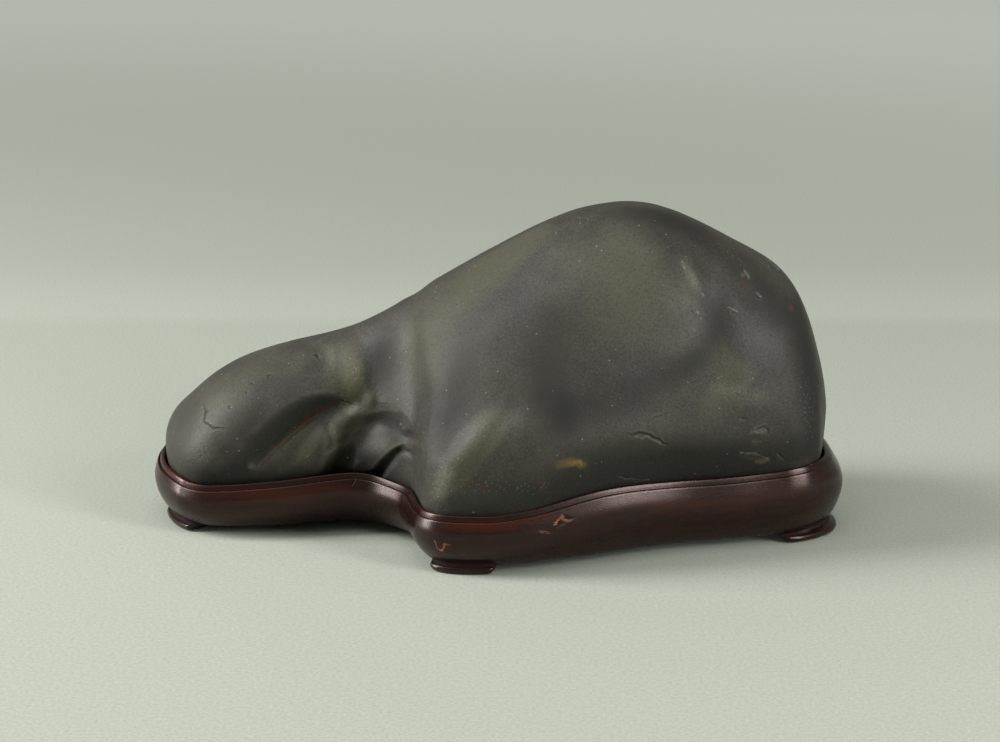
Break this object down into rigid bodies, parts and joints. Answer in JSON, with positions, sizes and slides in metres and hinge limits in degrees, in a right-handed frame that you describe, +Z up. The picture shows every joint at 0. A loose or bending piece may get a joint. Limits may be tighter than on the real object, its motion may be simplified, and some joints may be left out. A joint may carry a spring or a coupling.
{
  "type": "scholars rock on a carved stand",
  "caption": "Water-worn dark stone, a low lobe rising to a rounded dome, resting in a fitted carved hardwood stand with a beaded rim and low feet.",
  "frame": {"origin": "on the surface that the feet stand on, under the middle of the whole object's box", "axes": "+X along the length, towards the dome; +Y towards the back; +Z up"},
  "size_m": [0.3306, 0.1624, 0.155],
  "materials": {
    "river_stone": "water-worn, satin from handling",
    "rosewood": "dark reddish-brown, satin lacquer"
  },
  "bodies": {
    "root": {"stone": "river_stone", "stand": "rosewood"}
  },
  "joints": []
}
